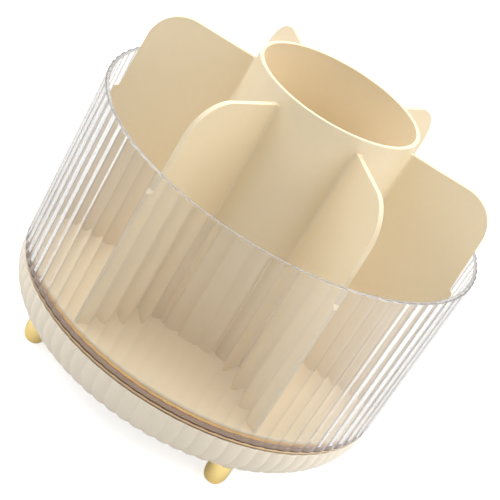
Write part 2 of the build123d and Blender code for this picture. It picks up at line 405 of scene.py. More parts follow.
@dataclass(frozen=True)
class ClearPlastic(PolishedFinish):
    """Clear polished plastic that lets lamps and soft light reach what stands behind it.

    The grooves of the fluted wall lie at groove_radius, measured where the line of the wall meets the ground.
    The wall widens by wall_flare for each metre that it rises. Its tint carries painted shade where the wall
    is seen along its face and in the grooves, and rays caught inside it give a painted glow.
    """

    # Painted shade: the edge colour darkens the wall where it is seen along its face, more in the grooves.
    edge: Colour
    edge_blend: float
    groove_radius: float
    groove_rise: float
    groove_shade: float
    wall_flare: float
    # Painted glow: colours that rays caught inside the plastic give out, dim brown at the foot and grey at
    # the rim.
    painted_glow_foot: Colour
    painted_glow_rim: Colour
    caught_heights: Pair
    caught_depth: float
    caught_strength: float
    refraction: float

    def build(self, sheet: NodeSheet) -> None:
        """Fills the material's tree.

        Args:
            sheet: The empty tree of the material.
        """
        marks = self.marks(sheet)
        path = sheet.add("LightPath").outputs
        place = sheet.axes()
        glass = sheet.add(
            "BsdfPrincipled",
            {
                # The tint carries painted shade along the wall's edges and grooves.
                "Base Color": self.tint_with_painted_shade(sheet, place),
                "Roughness": marks["Roughness"],
                "Normal": sheet.bump(marks["Height"], self.scratch_depth),
                "IOR": self.refraction,
                "Transmission Weight": 1.0,
                # Painted glow where rays are caught inside the plastic.
                "Emission Color": self.painted_caught_glow(sheet, path["Ray Depth"], place["Z"]),
                "Emission Strength": self.caught_strength,
            },
        )
        clear = sheet.add("BsdfTransparent", {"Color": opaque(self.colour)})
        soft = sheet.math("MAXIMUM", path["Is Shadow Ray"], path["Is Diffuse Ray"])
        shader = sheet.add("MixShader", {"Fac": soft, 1: glass.outputs["BSDF"], 2: clear.outputs["BSDF"]})
        sheet.add("OutputMaterial", {"Surface": shader.outputs["Shader"]})

    def tint_with_painted_shade(self, sheet: NodeSheet, place: Sockets) -> Socket:
        """The tint of the plastic, with painted shade.

        Where the outside of the wall is seen along its face, painted shade darkens the plastic towards the
        edge colour, more so in the grooves between the flutes.

        Args:
            sheet: The material's tree.
            place: X, Y and Z of the shaded point.

        Returns:
            The tint with its painted shade.
        """
        plan = sheet.add("CombineXYZ", {"X": place["X"], "Y": place["Y"]}).outputs["Vector"]
        radius = sheet.add("VectorMath", {"Vector": plan}, operation="LENGTH").outputs["Value"]
        lean = sheet.math("MULTIPLY", place["Z"], self.wall_flare)
        reach = sheet.math("SUBTRACT", radius, lean)
        outside = sheet.math("GREATER_THAN", reach, self.groove_radius - self.groove_rise)
        entering = sheet.math("SUBTRACT", outside, sheet.add("NewGeometry").outputs["Backfacing"])
        groove_end = self.groove_radius + self.groove_rise
        groove = sheet.remap(reach, self.groove_radius, groove_end, self.groove_shade, 0.0)
        # Painted shade: darker where the wall is seen along its face, darker still in the grooves.
        grazing = sheet.add("LayerWeight", {"Blend": self.edge_blend}).outputs["Facing"]
        shade = sheet.math("ADD", sheet.math("MULTIPLY", groove, grazing), 1.0)
        painted_shade = sheet.math("MULTIPLY", grazing, shade)
        factor = sheet.math("MULTIPLY", painted_shade, sheet.math("MAXIMUM", entering, 0.0))
        return sheet.blend(factor, opaque(self.colour), opaque(self.edge))

    def painted_caught_glow(self, sheet: NodeSheet, depth: Socket, height: Socket) -> Socket:
        """A painted glow that stands in for the light that the plastic carries along itself.

        It shows, as emission, where a ray has been thrown about inside the plastic more often than
        caught_depth. It has one colour at the foot, where it meets the gold, and another at the rim. Its
        strength is small and its colour large, so that a viewer that can't count a ray's turns shows no glow.

        Args:
            sheet: The material's tree.
            depth: How often the ray has been bent or thrown back.
            height: Height of the shaded point.

        Returns:
            The colour of the painted glow, for an emission strength of caught_strength.
        """
        foot, rim = (
            opaque(tuple(value / self.caught_strength for value in colour))
            for colour in (self.painted_glow_foot, self.painted_glow_rim)
        )
        # The painted glow, one colour at the foot and another at the rim.
        carried = sheet.blend(sheet.remap(height, *self.caught_heights), foot, rim)
        caught = sheet.math("GREATER_THAN", depth, self.caught_depth)
        return sheet.blend(caught, opaque((0.0, 0.0, 0.0)), carried)


@dataclass(frozen=True)
class PlatedMetal(PolishedFinish):
    """Plated metal with a polished face, dulled a little where it is handled."""

    dulled: Colour
    # Words put before the name of a darker copy that paints shade, such as the trim ring's gold.
    shade_prefix: str = ""

    def name(self) -> str:
        """Returns the material's name in plain words."""
        return self.shade_prefix + super().name()

    def build(self, sheet: NodeSheet) -> None:
        """Fills the material's tree.

        Args:
            sheet: The empty tree of the material.
        """
        marks = self.marks(sheet)
        shader = sheet.add(
            "BsdfPrincipled",
            {
                "Base Color": sheet.blend(marks["Smudge"], opaque(self.colour), opaque(self.dulled)),
                "Metallic": 1.0,
                "Roughness": marks["Roughness"],
                "Normal": sheet.bump(marks["Height"], self.scratch_depth),
            },
        )
        sheet.add("OutputMaterial", {"Surface": shader.outputs["BSDF"]})


IVORY = MouldedPlastic(
    slot=Slot.IVORY,
    colour=(0.835, 0.733, 0.58),
    shade=(0.825, 0.723, 0.565),
    roughness=0.36,
    roughness_spread=0.12,
    grain_scale=1800.0,
    grain_depth=0.0000015,
    coat=0.15,
)
WARM_IVORY = MouldedPlastic(
    slot=Slot.DIVIDER,
    colour=(0.865, 0.72, 0.485),
    shade=(0.85, 0.71, 0.475),
    roughness=0.44,
    roughness_spread=0.12,
    grain_scale=1600.0,
    grain_depth=0.0000015,
)
ACETAL = MouldedPlastic(
    slot=Slot.BEARING,
    colour=(0.82, 0.82, 0.79),
    shade=(0.76, 0.76, 0.73),
    roughness=0.5,
    roughness_spread=0.15,
    grain_scale=1400.0,
    grain_depth=0.00002,
)
CLEAR = ClearPlastic(
    slot=Slot.CLEAR,
    colour=(0.93, 0.925, 0.915),
    # Painted shade on the wall: near black where it is seen along its face, more in the grooves.
    edge=(0.06, 0.055, 0.05),
    edge_blend=0.35,
    groove_radius=0.08166,
    groove_rise=0.0002,
    groove_shade=2.4,
    wall_flare=0.0254,
    # Painted glow of rays caught inside the plastic: dim brown at the foot, grey at the rim.
    painted_glow_foot=(0.17, 0.115, 0.08),
    painted_glow_rim=(0.31, 0.30, 0.285),
    caught_heights=(0.036, 0.060),
    caught_depth=4.5,
    caught_strength=0.001,
    roughness=0.0,
    smudge=0.006,
    smudge_scale=26.0,
    scratch_scale=1400.0,
    scratch_depth=0.0000001,
    refraction=1.49,
)
GOLD = PlatedMetal(
    slot=Slot.GOLD,
    colour=(0.97, 0.76, 0.32),
    dulled=(0.88, 0.67, 0.27),
    roughness=0.12,
    smudge=0.1,
    smudge_scale=90.0,
    scratch_scale=1200.0,
    scratch_depth=0.000004,
)
# A darker, rougher copy of the gold plate for the trim ring: painted shade, as the ring sits low in the seam
# under the tub.
SHADOWED_GOLD = replace(
    GOLD,
    shade_prefix="shadowed ",
    colour=(0.45, 0.305, 0.165),
    dulled=(0.41, 0.275, 0.145),
    roughness=0.3,
)
# A darker, more orange copy of the gold plate for the band under the divider's floor: painted shade.
SHADOWED_WARM_GOLD = replace(
    GOLD,
    shade_prefix="shadowed_warm ",
    colour=(0.80, 0.49, 0.14),
    dulled=(0.72, 0.44, 0.125),
    roughness=0.3,
)
STEEL = PlatedMetal(
    slot=Slot.STEEL,
    colour=(0.66, 0.66, 0.67),
    dulled=(0.55, 0.55, 0.56),
    roughness=0.24,
    smudge=0.15,
    smudge_scale=90.0,
    scratch_scale=1500.0,
    scratch_depth=0.000006,
)


@dataclass(frozen=True)
class ProfilePoint:
    """A point of a lathe profile, and how far a groove between two flutes moves it."""

    radius: float
    height: float
    groove_in: float = 0.0
    groove_up: float = 0.0


Profile = list[ProfilePoint]


def straight(*places: Pair) -> Profile:
    """Returns the points of a straight-sided stretch of a profile, each given as a radius and a height."""
    return [ProfilePoint(*place) for place in places]


def corner(
    radius: float,
    height: float,
    bend: float,
    start: float,
    stop: float,
    steps: int,
    groove: float = 0.0,
) -> Profile:
    """A round stretch of a profile.

    Args:
        radius: Radius of the middle of the bend.
        height: Height of the middle of the bend.
        bend: Radius of the bend itself.
        start: Direction of its first point in degrees, 0 outwards and 90 up.
        stop: Direction of its last point.
        steps: Number of steps between them.
        groove: Depth of the flutes' grooves along it.

    Returns:
        The points, both ends included.
    """
    points = []
    for step in range(steps + 1):
        turn = radians(start + (stop - start) * step / steps)
        points.append(
            ProfilePoint(
                radius + bend * cos(turn),
                height + bend * sin(turn),
                groove * cos(turn),
                -groove * sin(turn),
            )
        )
    return points


def round_edge(radius: float, low_z: float, high_z: float, bend: float, steps: int) -> Profile:
    """Returns the outer edge of a disc or a ring, from below, with both its corners rounded."""
    below = corner(radius - bend, low_z + bend, bend, -90, 0, steps)
    above = corner(radius - bend, high_z - bend, bend, 0, 90, steps)
    return below + above


def grooved(profile: Profile, depth: float) -> Profile:
    """Returns a stretch of a profile with grooves of an even depth between its flutes."""
    return [replace(point, groove_in=depth) for point in profile]


@dataclass
class Lathe:
    """A profile turned about an upright axis.

    A profile that leaves the axis and returns to it makes a solid, and any other is closed into a ring.
    """

    profile: Profile
    segments: int
    flutes: int = 1
    flute_power: float = 2.0
    centre: Pair = (0.0, 0.0)

    def add_to(self, shape: Shape) -> None:
        """Adds the turned skin to a mesh.

        Args:
            shape: The mesh that it joins.
        """
        rings = [self.ring(shape, point) for point in self.profile]
        if len(rings[0]) > 1:
            rings.append(rings[0])
        for lower, upper in zip(rings, rings[1:]):
            self.skin(shape, lower, upper)

    def ring(self, shape: Shape, point: ProfilePoint) -> Ring:
        """The ring of vertices that one point of the profile makes.

        Args:
            shape: The mesh that they join.
            point: The point of the profile.

        Returns:
            The vertices in order, or a single one on the axis.
        """
        if point.radius <= 0:
            return [shape.verts.new((*self.centre, point.height))]
        x, y = self.centre
        vertices = []
        for index in range(self.segments):
            share = self.groove_share(index)
            radius = point.radius - point.groove_in * share
            height = point.height + point.groove_up * share
            turn = tau * index / self.segments
            vertices.append(shape.verts.new((x + radius * cos(turn), y + radius * sin(turn), height)))
        return vertices

    def groove_share(self, index: int) -> float:
        """How near a segment is to a groove: 0 on the crest of a flute and 1 in the groove."""
        across = (index * self.flutes / self.segments + 0.5) % 1.0 - 0.5
        return abs(2 * across) ** self.flute_power

    def skin(self, shape: Shape, lower: Ring, upper: Ring) -> None:
        """Joins two rings with faces.

        Args:
            shape: The mesh that they belong to.
            lower: One ring, or the single vertex of a pole.
            upper: The next ring, or the single vertex of a pole.
        """
        for index in range(self.segments):
            following = (index + 1) % self.segments
            if len(lower) == 1:
                shape.faces.new((lower[0], upper[following], upper[index]))
            elif len(upper) == 1:
                shape.faces.new((lower[index], lower[following], upper[0]))
            else:
                shape.faces.new((lower[index], lower[following], upper[following], upper[index]))


def fluted(profile: Profile) -> Lathe:
    """Returns a lathe with the flutes that the tub and the bowl have in common."""
    return Lathe(profile, FLUTES * STEPS_PER_FLUTE, FLUTES)


def make_piece(name: str, shape: Shape) -> bpy.types.Object:
    """Makes a smooth-shaded object whose sharp edges stay sharp.

    Args:
        name: The piece's name.
        shape: Its mesh, which is used up.

    Returns:
        The new object, in the scene.
    """
    bmesh.ops.recalc_face_normals(shape, faces=shape.faces[:])
    mesh = bpy.data.meshes.new(name)
    shape.to_mesh(mesh)
    shape.free()
    mesh.shade_smooth()
    mesh.set_sharp_from_angle(angle=SHARP_ANGLE)
    piece = bpy.data.objects.new(name, mesh)
    bpy.context.scene.collection.objects.link(piece)
    return piece


def keep_flats_flat(piece: bpy.types.Object) -> None:
    """Lets large faces set the shading, so that only the rounded edges beside them look round.

    Args:
        piece: The piece, which gets a modifier for it.
    """
    shading = piece.modifiers.new("flat faces", "WEIGHTED_NORMAL")
    shading.mode = "FACE_AREA"
    shading.weight = FLAT_FACE_WEIGHT
    shading.keep_sharp = True


def turned_piece(name: str, *lathes: Lathe) -> bpy.types.Object:
    """Makes a piece of one or more turned skins.

    Args:
        name: The piece's name.
        lathes: The skins.

    Returns:
        The new object, in the scene.
    """
    shape = bmesh.new()
    for lathe in lathes:
        lathe.add_to(shape)
    piece = make_piece(name, shape)
    keep_flats_flat(piece)
    return piece


def settle(piece: bpy.types.Object, body: Body, finish: Finish, *nodes: str) -> None:
    """Dresses a new piece, seats it on its body and lets it stand for its CAD nodes.

    Args:
        piece: The new piece.
        body: The body that it rides on.
        finish: Its finish.
        nodes: The CAD nodes that it stands for.
    """
    piece.data.materials.append(finish.material())
    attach(piece, body.value)
    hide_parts(*nodes)
    log.info("%s: %d vertices, %s", piece.name, len(piece.data.vertices), finish.name())


def dress_node(name: str, finish: Finish) -> None:
    """Gives a CAD node that stays in view its finish.

    Args:
        name: The node's name.
        finish: Its finish.
    """
    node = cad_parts[name]
    node.data.materials.clear()
    node.data.materials.append(finish.material())
    log.info("%s: carried over, %s", name, finish.name())


def node_radius(name: str) -> float:
    """Returns how far a CAD node reaches from the turning axis along +X."""
    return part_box(name)[1].x


@dataclass(frozen=True)
class BallTrack:
    """A rib with a channel that the balls run in; the turntable plate has one and the bowl the other."""

    radius: float = 0.0420
    half_width: float = 0.0050
    channel_half_width: float = 0.0032

    def profile(self, face_z: float, rib_z: float, channel_z: float) -> Profile:
        """The section of the track.

        Args:
            face_z: Height of the face that the rib stands on.
            rib_z: Height of the rib's own face.
            channel_z: Height of the bottom of the channel.

        Returns:
            The points from the side near the axis to the far side.
        """
        near, far = self.radius - self.half_width, self.radius + self.half_width
        lip_near, lip_far = self.radius - self.channel_half_width, self.radius + self.channel_half_width
        near_side = ((near, face_z), (near, rib_z), (lip_near, rib_z), (lip_near, channel_z))
        far_side = ((lip_far, channel_z), (lip_far, rib_z), (far, rib_z), (far, face_z))
        return straight(*near_side, *far_side)


@dataclass
class FlutedBin:
    """The clear tub: flutes outside, a smooth wall inside and a clear floor."""

    flute_depth: float = 0.0005
    flare: float = 0.0020
    wall: float = 0.0020
    floor: float = 0.0018
    seat_width: float = 0.0012
    seat_gap: float = 0.00012
    edge_round: float = 0.0004
    floor_round: float = 0.0005
    round_steps: int = 4

    def build(self) -> None:
        """Builds the tub and dresses it."""
        low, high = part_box("clear_bin")
        piece = turned_piece("fluted_bin", fluted(self.profile(low.z, high.z, high.x)))
        settle(piece, Body.TURNTABLE, CLEAR, "clear_bin")

    def profile(self, foot_z: float, rim_z: float, rim_radius: float) -> Profile:
        """The section of the tub, from the middle of its underside to the middle of its floor.

        Args:
            foot_z: Height of the underside.
            rim_z: Height of the rim.
            rim_radius: Radius over the crests at the rim.

        Returns:
            The points of the section.
        """
        foot_radius = rim_radius - self.flare
        floor_z = foot_z + self.floor
        under_z = foot_z + self.seat_gap
        bend = self.edge_round
        bowl_bend = self.floor_round
        slope = self.flare / (rim_z - foot_z)
        inner_foot = foot_radius - self.wall + slope * self.floor
        inner_rim = rim_radius - self.wall
        seat = foot_radius - self.flute_depth - bend - self.seat_width
        foot_edge = corner(foot_radius - bend, foot_z + bend, bend, -90, 0, self.round_steps)
        rim_outer = corner(rim_radius - bend, rim_z - bend, bend, 0, 90, self.round_steps)
        rim_inner = corner(inner_rim + bend, rim_z - bend, bend, 90, 180, self.round_steps)
        bowl = corner(inner_foot - bowl_bend, floor_z + bowl_bend, bowl_bend, 0, -90, self.round_steps)
        return (
            straight((0.0, under_z), (seat, under_z), (seat, foot_z))
            + grooved(foot_edge + rim_outer, self.flute_depth)
            + rim_inner
            + bowl
            + straight((0.0, floor_z))
        )


@dataclass
class Divider:
    """The lift-out divider, one moulding: a round floor on a foot ring, a centre tube and a ring of fins."""

    tray_thickness: float = 0.0016
    tray_foot: float = 0.0014
    tray_foot_width: float = 0.0025
    tray_round: float = 0.0006
    tray_segments: int = 240
    tray_steps: int = 4
    band_width: float = 0.0045
    band_fit: float = 0.0001
    band_round: float = 0.0002
    seat_gap: float = 0.0001
    tube_radius: float = 0.0360
    tube_wall: float = 0.0017
    fins: int = 6
    fin_thickness: float = 0.0020
    fin_setback: float = 0.0003
    fin_drop: float = 0.0057
    rim_drop: float = 0.0363
    step_drop: float = 0.0100
    step: float = 0.0016
    step_slope: float = 0.0014
    draft: float = 0.0007
    corner_radius: float = 0.0160
    root_radius: float = 0.0012
    edge_round: float = 0.0005
    corner_steps: int = 14
    root_steps: int = 5
    sector_steps: int = 18
    edge_segments: int = 3
    foot_z: float = field(init=False)
    tube_z: float = field(init=False)
    fin_z: float = field(init=False)
    fin_reach: float = field(init=False)

    def __post_init__(self) -> None:
        """Takes the heights of the tube and the fins, and the fins' reach, from the CAD divider."""
        low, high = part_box("divider")
        self.foot_z = low.z + self.tray_foot + self.tray_thickness / 2
        self.tube_z = high.z
        self.fin_z = high.z - self.fin_drop
        self.fin_reach = high.x - self.fin_setback

    def build(self) -> None:
        """Builds the divider and its band and dresses them."""
        shape = bmesh.new()
        for index in range(self.fins):
            self.add_fin(shape, Matrix.Rotation(tau * index / self.fins, 4, "Z"))
        self.add_tube(shape)
        bmesh.ops.remove_doubles(shape, verts=shape.verts[:], dist=WELD_DISTANCE)
        bmesh.ops.recalc_face_normals(shape, faces=shape.faces[:])
        self.mark_round_edges(shape)
        self.add_tray(shape)
        piece = make_piece("fin_divider", shape)
        rounding = piece.modifiers.new("rounded edges", "BEVEL")
        rounding.limit_method = "WEIGHT"
        rounding.width = self.edge_round
        rounding.segments = self.edge_segments
        keep_flats_flat(piece)
        settle(piece, Body.DIVIDER, WARM_IVORY, "divider")
        self.build_band()

    def build_band(self) -> None:
        """Builds the gold band under the edge of the floor."""
        low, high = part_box("divider_band")
        foot_z = low.z + self.seat_gap
        inner = self.band_inner()
        profile = straight((inner, high.z), (inner, foot_z))
        profile += round_edge(high.x, foot_z, high.z, self.band_round, self.tray_steps)
        piece = turned_piece("gold_floor_band", Lathe(profile, self.tray_segments))
        # The band takes the darker, more orange copy of the gold: painted shade.
        settle(piece, Body.DIVIDER, SHADOWED_WARM_GOLD, "divider_band")

    def band_inner(self) -> float:
        """Returns the inner radius of the gold band."""
        return node_radius("divider_band") - self.band_width

    def add_tray(self, shape: Shape) -> None:
        """Adds the floor with its foot ring.

        Args:
            shape: The mesh that it joins.
        """
        low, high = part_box("divider")
        seat_z = low.z + self.seat_gap
        under_z = low.z + self.tray_foot
        top_z = under_z + self.tray_thickness
        ring_outer = self.band_inner() - self.band_fit
        ring_inner = ring_outer - self.tray_foot_width
        profile = (
            straight((0.0, under_z), (ring_inner, under_z), (ring_inner, seat_z))
            + straight((ring_outer, seat_z), (ring_outer, under_z))
            + round_edge(high.x, under_z, top_z, self.tray_round, self.tray_steps)
            + straight((0.0, top_z))
        )
        Lathe(profile, self.tray_segments).add_to(shape)

    def outline(self, root: float) -> list[Pair]:
        """The outer edge of a fin in its own plane, from its foot at the root to its top at the root.

        Args:
            root: Distance from the axis at which the root fillet ends.

        Returns:
            Distances from the axis and heights.
        """
        step_z = self.tube_z - self.rim_drop - self.step_drop
        step_x = self.fin_reach - self.step
        top_x = step_x - self.draft
        lean = self.draft / (self.fin_z - step_z)
        bend = self.corner_radius
        bend_x = top_x + lean * bend - bend
        bend_z = self.fin_z - bend
        points = [
            (root, self.foot_z),
            (self.fin_reach, self.foot_z),
            (self.fin_reach, step_z - self.step_slope),
            (step_x, step_z),
        ]
        for index in range(self.corner_steps + 1):
            turn = radians(90 * index / self.corner_steps)
            points.append((bend_x + bend * cos(turn), bend_z + bend * sin(turn)))
        points.append((root, self.fin_z))
        return points

    def root_curve(self) -> list[Pair]:
        """The root fillet on one side of a fin, from the tube to the side of the fin.

        Returns:
            Points on the floor plan of a fin that lies along +X.
        """
        side = self.fin_thickness / 2 + self.root_radius
        reach = self.tube_radius + self.root_radius
        middle = sqrt(reach**2 - side**2)
        inward = Vector((-middle, -side))
        opening = inward.angle_signed(Vector((0, -1)))
        points = []
        for index in range(self.root_steps + 1):
            spoke = inward.normalized() * self.root_radius
            spoke.rotate(Matrix.Rotation(-opening * index / self.root_steps, 2))
            points.append((middle + spoke.x, side + spoke.y))
        return points

    def add_fin(self, shape: Shape, turn: Matrix) -> None:
        """Adds a fin with its root fillets.

        Args:
            shape: The mesh that it joins.
            turn: The turn about the axis that brings the fin to its place.
        """
        half = self.fin_thickness / 2
        root = self.root_curve()
        outline = self.outline(root[-1][0])
        low_z, high_z = self.foot_z, self.fin_z

        def face(corners: list[Point]) -> None:
            """Adds one face from its corners on an unturned fin."""
            shape.faces.new([shape.verts.new(turn @ Vector(point)) for point in corners])

        for side in (half, -half):
            face([(x, side, z) for x, z in outline])
        for (x0, z0), (x1, z1) in zip(outline, outline[1:]):
            face([(x0, half, z0), (x1, half, z1), (x1, -half, z1), (x0, -half, z0)])
        for curve in (root, [(x, -y) for x, y in root]):
            for (x0, y0), (x1, y1) in zip(curve, curve[1:]):
                face([(x0, y0, low_z), (x1, y1, low_z), (x1, y1, high_z), (x0, y0, high_z)])
        seat = (self.tube_radius, 0.0)
        plan = root[::-1] + [seat] + [(x, -y) for x, y in root]
        for height in (low_z, high_z):
            face([(x, y, height) for x, y in plan])

    def add_tube(self, shape: Shape) -> None:
        """Adds the tube, whose outside is open where the fins join it.

        Args:
            shape: The mesh that it joins.
        """
        root_angle = Vector((1, 0)).angle(Vector(self.root_curve()[0]))
        pitch = tau / self.fins
        span = (pitch - 2 * root_angle) / self.sector_steps
        outer, inner = self.tube_radius, self.tube_radius - self.tube_wall
        foot, fin, top = self.foot_z, self.fin_z, self.tube_z
        rising = ((outer, foot), (outer, fin))
        section = ((outer, fin), (outer, top), (inner, top), (inner, foot), (outer, foot))

        def wall(points: tuple[Pair, ...], angles: list[float]) -> None:
            """Adds a stretch of the section, given as radii and heights, along a row of angles."""
            for a0, a1 in zip(angles, angles[1:]):
                for (r0, z0), (r1, z1) in zip(points, points[1:]):
                    corners = ((r0, a0, z0), (r0, a1, z0), (r1, a1, z1), (r1, a0, z1))
                    shape.faces.new([shape.verts.new((r * cos(a), r * sin(a), z)) for r, a, z in corners])

        for index in range(self.fins):
            start = index * pitch
            sector = [start + root_angle + span * step for step in range(self.sector_steps + 1)]
            wall(rising, sector)
            wall(section, [start - root_angle, start] + sector)

    def mark_round_edges(self, shape: Shape) -> None:
        """Marks the outward edges, which are the ones that get rounded.

        Args:
            shape: The welded mesh.
        """
        weight = shape.edges.layers.float.new("bevel_weight_edge")
        for edge in shape.edges:
            if len(edge.link_faces) == 2 and edge.calc_face_angle_signed() > SHARP_ANGLE:
                edge[weight] = 1.0


@dataclass
class Turntable:
    """The turntable plate and the gold ring that lies on its edge."""

    segments: int = 240
    ring_round: float = 0.0002
    ring_inner: float = 0.0746
    ring_fit: float = 0.0001
    disc_round: float = 0.0003
    plate_thickness: float = 0.0030
    track: BallTrack = BallTrack()
    track_rib: float = 0.0025
    channel_depth: float = 0.0020
    hub_radius: float = 0.0060
    screw_radius: float = 0.0015
    round_steps: int = 4

    def build(self) -> None:
        """Builds the ring and the plate and dresses them."""
        self.build_ring()
        self.build_plate()
        for name in ("pivot_washer", "pivot_screw"):
            dress_node(name, STEEL)

    def build_ring(self) -> None:
        """Builds the gold ring."""
        low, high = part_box("trim_ring")
        profile = straight((self.ring_inner, high.z), (self.ring_inner, low.z))
        profile += round_edge(high.x, low.z, high.z, self.ring_round, self.round_steps)
        piece = turned_piece("gold_trim_ring", Lathe(profile, self.segments))
        # The ring takes the darker copy of the gold: painted shade.
        settle(piece, Body.TURNTABLE, SHADOWED_GOLD, "trim_ring")

    def build_plate(self) -> None:
        """Builds the plate with its raised disc, upper ball track and hub."""
        low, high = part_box("turntable_plate")
        ring_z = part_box("trim_ring")[0].z
        plate_z = ring_z - self.plate_thickness
        rib_z = plate_z - self.track_rib
        disc = self.ring_inner - self.ring_fit
        bend = self.disc_round
        hub, bore = self.hub_radius, self.screw_radius
        profile = (
            straight((0.0, high.z))
            + corner(disc - bend, high.z - bend, bend, 90, 0, self.round_steps)
            + straight((disc, ring_z), (high.x, ring_z), (high.x, plate_z))
            + self.track.profile(plate_z, rib_z, rib_z + self.channel_depth)[::-1]
            + straight((hub, plate_z), (hub, low.z), (bore, low.z), (bore, ring_z), (0.0, ring_z))
        )
        piece = turned_piece("turntable_disc", Lathe(profile, self.segments))
        settle(piece, Body.TURNTABLE, IVORY, "turntable_plate")


@dataclass
class SwivelBase:
    """The fluted bowl, its four feet and the pieces inside it."""

    flute_depth: float = 0.0006
    edge_radius: float = 0.0170
    edge_steps: int = 16
    rim_round: float = 0.0003
    wall: float = 0.0025
    fade: float = 0.0060
    recess_margin: float = 0.0006
    recess_round: float = 0.0003
    recess_steps: int = 3
    bush_fit: float = 0.00002
    bush_flange: float = 0.0012
    bush_flange_margin: float = 0.0020
    track: BallTrack = BallTrack()
    cage_gap: float = 0.0004
    ball_clearance: float = 0.0002
    round_steps: int = 4
    boss_wall: float = 0.0020
    boss_margin: float = 0.0006
    boss_rise: float = 0.0040
    boss_segments: int = 48
    foot_segments: int = 64
    foot_dome: float = 0.0055
    foot_flat: float = 0.0025
    foot_steps: int = 16
    spigot_radius: float = 0.0030
    feet: tuple[str, ...] = ("foot_front_left", "foot_front_right", "foot_rear_left", "foot_rear_right")

    def build(self) -> None:
        """Builds the bowl and the feet, and dresses what they hold."""
        self.build_bowl()
        for name in self.feet:
            self.build_foot(name)
        for name in ("foot_washers", "foot_screws"):
            dress_node(name, STEEL)
        dress_node("pivot_bush", ACETAL)

    def build_bowl(self) -> None:
        """Builds the bowl, with a boss over each foot."""
        bosses = [self.boss(name) for name in self.feet]
        piece = turned_piece("fluted_bowl", fluted(self.outside() + self.inside()), *bosses)
        settle(piece, Body.BASE, IVORY, "base_shell")

    def foot_plan(self, name: str) -> tuple[Pair, float]:
        """Returns the middle of a foot on the floor plan, and its radius."""
        low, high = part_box(name)
        middle = (low + high) / 2
        return (middle.x, middle.y), (high.x - low.x) / 2

    def recess(self) -> float:
        """Returns the radius of the recess under the pivot."""
        return node_radius("pivot_washer") + self.recess_margin

    def boss(self, name: str) -> Lathe:
        """The boss of the bowl over a foot.

        Args:
            name: The foot's CAD node.

        Returns:
            The boss, as a solid that reaches into the bowl.
        """
        base_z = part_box("base_shell")[0].z
        top_z = base_z + self.boss_rise
        centre, foot_radius = self.foot_plan(name)
        radius = foot_radius + self.boss_margin
        bend = self.rim_round
        profile = (
            straight((0.0, base_z))
            + corner(radius - bend, base_z + bend, bend, -90, 0, self.round_steps)
            + straight((radius, top_z), (0.0, top_z))
        )
        return Lathe(profile, self.boss_segments, centre=centre)

    def outside(self) -> Profile:
        """The fluted outside of the bowl.

        Returns:
            The points from its rim, round the lower edge and in to the recess under the pivot.
        """
        low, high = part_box("base_shell")
        bend, depth = self.edge_radius, self.flute_depth
        rim_bend, mouth_bend = self.rim_round, self.recess_round
        edge_x = high.x - bend
        rim = corner(high.x - rim_bend, high.z - rim_bend, rim_bend, 90, 0, self.round_steps)
        edge = corner(edge_x, low.z + bend, bend, 0, -90, self.edge_steps, depth)
        mouth_x = self.recess() + mouth_bend
        mouth = corner(mouth_x, low.z + mouth_bend, mouth_bend, -90, -180, self.recess_steps)
        return grooved(rim, depth) + edge + straight((edge_x - self.fade, low.z)) + mouth

    def inside(self) -> Profile:
        """The inside of the bowl.

        Returns:
            The points from the recess, over the pivot boss and the ball track, up to the rim.
        """
        low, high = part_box("base_shell")
        bush_low, bush_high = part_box("pivot_bush")
        bush_z = bush_low.z
        boss = self.recess() + self.boss_wall
        boss_z = bush_high.z - self.bush_flange
        bore = bush_high.x - self.bush_flange_margin + self.bush_fit
        floor_z = low.z + self.wall
        rib_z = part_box("ball_cage")[0].z - self.cage_gap
        channel_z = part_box("bearing_balls")[0].z - self.ball_clearance
        bend = self.edge_radius - self.wall
        wall_x = high.x - self.flute_depth - self.wall
        return (
            straight((self.recess(), bush_z), (bore, bush_z), (bore, boss_z), (boss, boss_z), (boss, floor_z))
            + self.track.profile(floor_z, rib_z, channel_z)
            + corner(wall_x - bend, floor_z + bend, bend, -90, 0, self.edge_steps)
            + straight((wall_x, high.z))
        )

    def build_foot(self, name: str) -> None:
        """Builds a foot: a plated post with a domed end and a small flat to stand on.

        Args:
            name: The foot's CAD node.
        """
        low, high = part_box(name)
        centre, radius = self.foot_plan(name)
        base_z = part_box("base_shell")[0].z
        spigot = self.spigot_radius
        profile = straight((0.0, low.z))
        for step in range(self.foot_steps + 1):
            turn = pi / 2 * step / self.foot_steps
            reach = self.foot_flat + (radius - self.foot_flat) * sin(turn)
            profile.append(ProfilePoint(reach, low.z + self.foot_dome * (1 - cos(turn))))
        profile += straight((radius, base_z), (spigot, base_z), (spigot, high.z), (0.0, high.z))
        foot = Lathe(profile, self.foot_segments, centre=centre)
        piece = turned_piece(name.replace("foot", "gold_foot"), foot)
        settle(piece, Body.BASE, GOLD, name)


@dataclass
class BallRace:
    """The balls and the cage that spaces them, in the shapes that the CAD gives them."""

    def build(self) -> None:
        """Dresses the balls and their cage."""
        dress_node("ball_cage", ACETAL)
        dress_node("bearing_balls", STEEL)


@dataclass
class Lamp:
    """A square soft lamp, aimed at the middle of the holder."""

    name: str
    azimuth: float
    elevation: float
    power: float
    distance: float = 1.2
    size: float = 0.9
    colour: Colour = (1.0, 1.0, 1.0)

    def build(self, aim: Vector) -> None:
        """Adds the lamp.

        Args:
            aim: The point that it is aimed at.
        """
        light = bpy.data.lights.new(self.name, "AREA")
        light.shape = "SQUARE"
        light.size = self.size
        light.energy = self.power
        light.color = self.colour
        lamp = bpy.data.objects.new(self.name, light)
        turn, rise = radians(self.azimuth), radians(self.elevation)
        back = Vector((sin(turn) * cos(rise), -cos(turn) * cos(rise), sin(rise)))
        lamp.location = aim + back * self.distance
        lamp.rotation_euler = back.to_track_quat("Z", "Y").to_euler()
        bpy.context.scene.collection.objects.link(lamp)


